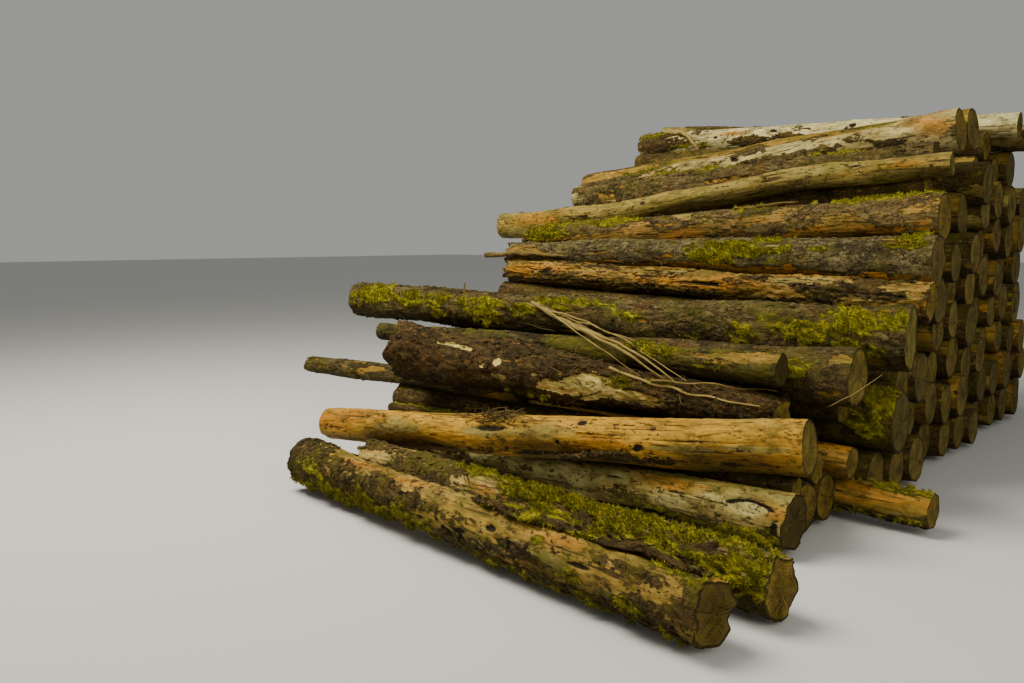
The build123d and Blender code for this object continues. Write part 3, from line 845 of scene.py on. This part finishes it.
topLog = {
    "node": "top_log", "seed": 109, "grid": (80, 160), "rough": 0.005,
    "woodLight": (0.920, 0.800, 0.600), "woodDark": (0.400, 0.300, 0.170), "tintBase": -0.20,
    "damp": 0.3, "woodGrey": (0.620, 0.550, 0.400), "barkCover": 0.12, "barkBreak": 0.14,
    "bark": [(0.06, 60, 0.10, 70, 0.8), (0.40, 110, 0.15, 30, 0.7), (0.7, 100, 0.1, 20, 0.6)],
    "flakes": 160, "orange": [(0.35, 60, 0.15, 25, 0.3)], "grey": [(0.78, 60, 0.12, 30, 0.4)],
    "slivers": 80,
    "moss": [(0.03, 20, 0.04, 30, 0.7), (0.2, 110, 0.08, 14, 0.6)],
    "tufts": 300, "haze": 0.15,
    "dark": [(0.42, 60, 0.010, 9, 0.9), (0.63, 55, 0.008, 8, 0.8), (0.25, 70, 0.008, 8, 0.8)],
    "knots": [(0.17, 40, 0.020, 0.05), (0.42, 60, 0.012, 0.05), (0.63, 55, 0.012, 0.06)],
}
makeLog(topLog)

backTopLog = {
    "node": "back_top_log", "seed": 113, "grid": (56, 90), "barkCover": 0.45, "barkBreak": 0.3,
    "flakes": 150, "tintBase": -0.1, "woodLight": (0.400, 0.290, 0.140), "haze": 0.4,
}
makeLog(backTopLog)

# plain logs under and between the others, out of sight from the front
hiddenLook = {
    "grid": (32, 30), "barkCover": 0.8, "barkBreak": 0.2, "tear": (0.008, 0.008), "haze": 0.5,
}
hiddenNames = [f"low_hidden_log_{n}" for n in range(1, 7)] + ["wedged_log_1", "wedged_log_2"]
for seed, name in enumerate(hiddenNames, 131):
    makeLog({**hiddenLook, "node": name, "seed": seed})

# the inner logs: one piece for each course, and no two logs with the same cover, tint or age
innerLook = {
    **plainLook, "node": "inner_logs", "grid": (32, 20), "damp": 0.8, "mossTop": 0.45, "haze": 0.5,
    "mossThick": 0.006, "endLight": (0.195, 0.138, 0.040), "endDark": (0.050, 0.032, 0.011),
    "barkBreak": 0.25,
}
innerMaterials = [logMaterial(innerLook), endMaterial(innerLook)]
courseNames = [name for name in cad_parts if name.startswith("course_")]
for seed, name in enumerate(courseNames, 200):
    chance = np.random.default_rng(seed)
    grids = []
    for rings in nodeLogs(name):
        own = {"barkCover": chance.uniform(0.1, 1.1), "tintBase": chance.uniform(-0.5, 0.3),
               "hue": chance.uniform(0.15, 1.0), "seed": int(chance.integers(1, 900)),
               "rough": chance.uniform(0.003, 0.007)}
        grids.append(logGrid(rings, {**innerLook, **own}, chance))
    addPiece(name + "_dressed", name, grids, innerMaterials)
    print("made", name, len(grids))


def spotOn(node, share, degrees, height):
    # a point at that height over the surface of a log; past an end it goes on along the log
    grid = laid[node]
    inside = min(max(share, 0), 1)
    row = len(endCap["rows"]) + round(inside * (grid["rows"] - 1))
    here = row * grid["around"] + round(degrees / 360 * grid["around"]) % grid["around"]
    past = (share - inside) * grid["length"]
    return grid["points"][here] + height * grid["out"][here] + past * grid["along"][here]


def rod(spots, radii, chance, sides=8, steps=28, wander=0.006, flat=1.0, mossy=0.0):
    # a stick along a smooth curve through spots, a little bent by wander:
    # curve + radius * (cos turn * first + flat * sin turn * second), closed by a fan at each end
    points = np.array([spotOn(*spot) if isinstance(spot[0], str) else spot for spot in spots])
    knots = np.append(0, np.cumsum(np.linalg.norm(np.diff(points, axis=0), axis=1)))
    share = np.linspace(0, 1, steps)
    order = min(len(points) - 1, 3)
    curve = [np.polyval(np.polyfit(knots / knots[-1], c, order), share) for c in points.T]
    path = np.stack(curve, 1)
    run = share * knots[-1]
    bends = np.stack([waves(0, run, chance, 0, 5, 6) for _ in range(3)], 1)
    path += wander * bends * np.sin(np.pi * share)[:, None]
    along = unit(np.gradient(path, share, axis=0))
    first = unit(np.cross(along, (0.1, 0.05, 1.0)))
    second = np.cross(along, first)
    turn = np.linspace(0, 2 * np.pi, sides, endpoint=False)
    size = np.interp(share, np.linspace(0, 1, len(radii)), radii)[:, None]
    size = size * (1 + 0.12 * waves(turn[None], run[:, None], chance, 3, 12))
    body = (path[:, None] + (size * np.cos(turn))[..., None] * first[:, None]
            + flat * (size * np.sin(turn))[..., None] * second[:, None])
    quads, tris = gridFaces(steps, sides)
    grid = {"points": np.concatenate([body.reshape(-1, 3), path[:1], path[-1:]]),
            "quads": quads, "tris": tris, "kinds": np.zeros(len(quads), int), "tipped": True}
    count = len(grid["points"])
    local = np.stack([size * np.cos(turn), size * np.sin(turn), run[:, None] + 0 * turn], -1)
    local = local.reshape(-1, 3)
    grid["grain"] = np.concatenate([local, local[:1], local[-1:]]) + chance.uniform(0, 5, 3)
    grid["face"] = np.zeros((count, 3))
    out = np.cos(turn)[:, None] * first[:, None] + np.sin(turn)[:, None] * second[:, None]
    grid["out"], grid["along"] = out.reshape(-1, 3), np.repeat(along, sides, axis=0)
    grid["onSide"] = np.ones(count - 2)
    grid["room"] = np.repeat(np.minimum(run, run[-1] - run), sides)
    moss = mossy * (0.55 + 0.5 * waves(turn[None], run[:, None], chance, 2, 4))
    # a steady painted shade of a quarter, shown only by the bark strips' log finish
    steady = {"shade": chance.uniform(0, 1), "bark": 1.0, "tint": 0.0, "dark": 0.0, "damp": 0.25,
              "reach": 1.0, "hue": 0.7}
    grid["fields"] = {name: np.full(count, value) for name, value in steady.items()}
    grid["fields"]["moss"] = np.append(moss.ravel(), (0, 0))
    return grid


def stickMaterial(name, pale, dull):
    # weathered stick: long streaks between two colours, lighter or darker by each stick's own shade
    shade = Shader(name)
    place = shade.field("grain", 1)
    streak = shade.streaks(place, 0.15, 120, 4, 0.6)
    cloud = shade.noise(place, 18, 4, 0.6)
    mask = shade.band(0.30, 0.70, streak * 0.35 + cloud * 0.3 + shade.field("shade") * 0.35)
    colour = shade.stretch(shade.mix(mask, dull, pale), palette["warmth"])
    return shade.finish(colour, 0.85, streak * 0.002 + cloud * 0.001)


# pale dead sticks lying on the stack: the spots (log, share, degrees, height) and radii of each
sticks = {
    "pale": (0.330, 0.235, 0.110), "dull": (0.095, 0.060, 0.026),
    "rods": [
        ([("grey_mossy_log", -0.07, 100, 0.02), ("grey_mossy_log", 0.05, 92, 0.02),
          ("grey_mossy_log", 0.20, 100, 0.016)], (0.020, 0.017, 0.006)),
        ([("long_mossy_log", 0.42, 55, 0.010), ("long_mossy_log", 0.46, 80, 0.045),
          ("thin_green_log", 0.61, 12, 0.035), ("lumpy_bark_log", 0.74, 22, 0.020)],
         (0.014, 0.011, 0.005)),
        ([("long_mossy_log", 0.43, 60, 0.015), ("long_mossy_log", 0.48, 88, 0.045),
          ("thin_green_log", 0.64, 18, 0.030), ("lumpy_bark_log", 0.78, 32, 0.020)],
         (0.010, 0.008, 0.004)),
        ([("long_mossy_log", 0.44, 62, 0.010), ("long_mossy_log", 0.52, 92, 0.070),
          ("red_bark_log", 0.60, 70, 0.060)], (0.009, 0.007, 0.003)),
        ([("long_mossy_log", 0.49, 100, 0.045), ("long_mossy_log", 0.56, 120, 0.080),
          ("red_bark_log", 0.62, 95, 0.050)], (0.006, 0.004, 0.002)),
        ([("pink_bark_log", 0.58, 20, 0.012), ("pink_bark_log", 0.72, 12, 0.022)], (0.011, 0.006)),
        ([("lumpy_bark_log", 0.62, 30, 0.012), ("lumpy_bark_log", 0.80, 55, 0.020),
          ("lumpy_bark_log", 0.97, 60, 0.020)], (0.009, 0.008, 0.003)),
        ([("lumpy_bark_log", 0.72, 40, 0.012), ("lumpy_bark_log", 0.86, 20, 0.030),
          ("red_bark_log", 0.88, 120, 0.030)], (0.006, 0.005, 0.002)),
        ([("moss_topped_log", 0.74, 30, 0.012), ("moss_topped_log", 0.88, 10, 0.030)],
         (0.007, 0.003)),
        ([("red_bark_log", 0.95, 165, 0.010), ("red_bark_log", 1.00, 120, 0.020),
          ("red_bark_log", 1.05, 70, -0.020)], (0.003, 0.0025, 0.001)),
        ([("long_mossy_log", 0.41, 58, 0.008), ("long_mossy_log", 0.50, 86, 0.045),
          ("red_bark_log", 0.66, 60, 0.030)], (0.006, 0.004, 0.002)),
        ([("long_mossy_log", 0.46, 75, 0.040), ("thin_green_log", 0.66, 8, 0.040),
          ("lumpy_bark_log", 0.80, 25, 0.030)], (0.005, 0.004, 0.002)),
        ([("long_mossy_log", 0.45, 70, 0.030), ("thin_green_log", 0.58, 15, 0.050),
          ("lumpy_bark_log", 0.70, 40, 0.030)], (0.005, 0.003, 0.001)),
        ([("long_mossy_log", 0.48, 84, 0.050), ("long_mossy_log", 0.545, 75, 0.070),
          ("long_mossy_log", 0.60, 60, 0.030)], (0.004, 0.003, 0.001)),
        ([("scarred_log", 0.52, 20, 0.010), ("scarred_log", 0.44, 50, 0.020)], (0.006, 0.002)),
        ([("small_orange_log", 0.97, 60, 0.010), ("small_orange_log", 0.80, 80, 0.010)],
         (0.006, 0.003)),
        ([("top_log", 0.10, 10, -0.010), ("top_log", 0.15, 60, 0.050),
          ("top_log", 0.21, 115, 0.060)], (0.024, 0.020, 0.011)),
        ([("long_mossy_log", 0.27, 30, 0.0), ("long_mossy_log", 0.265, 10, 0.06)], (0.008, 0.004)),
        ([("splintered_log", 0.13, 70, 0.0), ("splintered_log", 0.12, 100, 0.05)], (0.007, 0.003)),
    ],
}
chance = np.random.default_rng(301)
rods = [rod(spots, radii, chance) for spots, radii in sticks["rods"]]
addPiece("pale_sticks", "long_mossy_log", rods,
         [stickMaterial("dead_wood", sticks["pale"], sticks["dull"])], hides=False)
print("made pale sticks", len(rods))

# heaps of fine twigs, each (log, share, degrees, count, spread along, spread round); a twig ends
# within drift and swing of its start, and lift and tipLift are the heights of its two ends
twigs = {
    "pale": (0.150, 0.095, 0.045), "dull": (0.030, 0.019, 0.010), "thick": (0.002, 0.0045),
    "drift": 0.045, "swing": 22, "lift": (0, 0.012), "tipLift": (0.006, 0.05),
    "heaps": [("golden_log", 0.46, 20, 46, 0.055, 34), ("golden_log", 0.40, 5, 20, 0.05, 20),
              ("lumpy_bark_log", 0.56, 60, 26, 0.10, 40),
              ("long_mossy_log", 0.50, 100, 22, 0.06, 30),
              ("red_bark_log", 0.66, 60, 16, 0.08, 30), ("lumpy_bark_log", 0.80, 40, 16, 0.10, 30),
              ("scarred_log", 0.30, 40, 12, 0.15, 30), ("mossy_front_log", 0.50, 30, 12, 0.15, 40),
              ("moss_topped_log", 0.85, 60, 12, 0.12, 40),
              ("splintered_log", 0.4, 60, 14, 0.3, 30)],
}
chance = np.random.default_rng(302)
rods = []
for node, share, degrees, count, length, width in twigs["heaps"]:
    for _ in range(count):
        start = (node, share + chance.normal(0, length * 0.5),
                 degrees + chance.normal(0, width * 0.5), chance.uniform(*twigs["lift"]))
        end = (node, start[1] + chance.normal(0, twigs["drift"]),
               start[2] + chance.normal(0, twigs["swing"]), chance.uniform(*twigs["tipLift"]))
        thick = chance.uniform(*twigs["thick"])
        rods.append(rod([start, end], (thick, thick * 0.4), chance, sides=4, steps=6,
                        wander=0.008))
addPiece("fine_twigs", "golden_log", rods,
         [stickMaterial("dry_twigs", twigs["pale"], twigs["dull"])], hides=False)
print("made fine twigs", len(rods))

# strips of fallen bark: two along the top of the front log, one under the golden log and one on
# the red log, each as its spots, radii, flatness and share of moss
barkStrips = {
    "flakes": 90, "tufts": 700,
    "flake": {**litter["flakes"], "size": (0.045, 0.020, 0.005), "spread": 0.6, "lean": 0.5,
              "fixed": {"moss": 0.0}},
    "tuft": {**litter["tufts"], "size": (0.008, 0.008, 0.020)},
    "rods": [
        ([("front_log", 0.55, 14, 0.010), ("front_log", 0.70, 4, 0.022),
          ("front_log", 0.84, -6, 0.018)], (0.012, 0.044, 0.052, 0.036, 0.014), 0.35, 1.0),
        ([("front_log", 0.76, -12, 0.022), ("front_log", 0.88, -4, 0.024),
          ("front_log", 0.985, -12, 0.012)], (0.014, 0.040, 0.046, 0.040, 0.016), 0.35, 0.45),
        ([("golden_log", 0.72, 104, 0.004), ("golden_log", 0.64, 114, 0.016),
          ("golden_log", 0.575, 128, 0.026)], (0.008, 0.030, 0.034, 0.010), 0.4, 0.0),
        ([("red_bark_log", 0.60, 60, 0.010), ("red_bark_log", 0.70, 55, 0.016),
          ("red_bark_log", 0.78, 50, 0.008)], (0.006, 0.020, 0.014, 0.005), 0.4, 0.0),
    ],
}
chance = np.random.default_rng(303)
rods = []
for spots, radii, flat, mossy in barkStrips["rods"]:
    strip = rod(spots, radii, chance, sides=24, steps=90, wander=0.008, flat=flat, mossy=mossy)
    moss = strip["fields"]["moss"]
    flakes = scatter(strip, chance, barkStrips["flake"], 0.2 + 0 * moss, barkStrips["flakes"])
    tufts = scatter(strip, chance, barkStrips["tuft"], 0.001 + smoothStep(0.45, 0.9, moss),
                    round(mossy * barkStrips["tufts"]))
    rods += [strip, flakes, tufts]
addPiece("bark_strips", "front_log", rods, [finishes["lumpy_bark_log"]], hides=False)
print("made bark strips", len(rods))

# floor and light; each lamp is its place, what it points at, its size and its power
studio = {
    "floorHalf": 60, "floorHeight": -0.03, "floorColour": (0.56, 0.56, 0.54, 1.0),
    "sky": (0.87, 0.87, 0.83, 1), "skyStrength": 0.40, "lampColour": (1.0, 0.94, 0.82),
    "lamps": {"overhead": ((-2.5, -3.5, 7.0), (0.2, -0.5, 0.8), 4.5, 980),
              "right_fill": ((7.5, -4.0, 3.5), (1.5, 0, 0.8), 4.0, 240)},
}
far, low = studio["floorHalf"], studio["floorHeight"]
floorMesh = bpy.data.meshes.new("floor")
floorMesh.from_pydata([(-far, -far, low), (far, -far, low), (far, far, low), (-far, far, low)],
                      [], [(0, 1, 2, 3)])
paleFloor = Shader("pale_floor")
floorMesh.materials.append(paleFloor.finish(studio["floorColour"], 0.9, 0.0))
floorPiece = bpy.data.objects.new("floor", floorMesh)
bpy.context.scene.collection.objects.link(floorPiece)

world = bpy.data.worlds.new("studio")
world.use_nodes = True
world.node_tree.nodes["Background"].inputs["Color"].default_value = studio["sky"]
world.node_tree.nodes["Background"].inputs["Strength"].default_value = studio["skyStrength"]
bpy.context.scene.world = world

for name, (place, target, size, power) in studio["lamps"].items():
    lampData = bpy.data.lights.new(name, "AREA")
    lampData.size, lampData.energy, lampData.color = size, power, studio["lampColour"]
    lamp = bpy.data.objects.new(name, lampData)
    away = np.array(place) - np.array(target)
    lamp.location = place
    lamp.rotation_euler = (np.arctan2(np.hypot(away[0], away[1]), away[2]), 0,
                           np.arctan2(away[0], -away[1]))
    bpy.context.scene.collection.objects.link(lamp)
print("made the floor and lamps", len(studio["lamps"]))

# the camera stands a fixed way from the front log's low corner
cameraFrom = {"away": (4.25922, -2.63038, 1.40994), "tilt": 83.57, "azimuth": 40.0,
              "lens": 31.64, "sensor": 36}
cameraData = bpy.data.cameras.new("camera")
cameraData.lens, cameraData.sensor_width = cameraFrom["lens"], cameraFrom["sensor"]
camera = bpy.data.objects.new("camera", cameraData)
camera.location = np.array(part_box("front_log")[0]) + cameraFrom["away"]
camera.rotation_euler = (np.radians(cameraFrom["tilt"]), 0, np.radians(cameraFrom["azimuth"]))
bpy.context.scene.collection.objects.link(camera)
bpy.context.scene.camera = camera
print("camera at", tuple(camera.location))
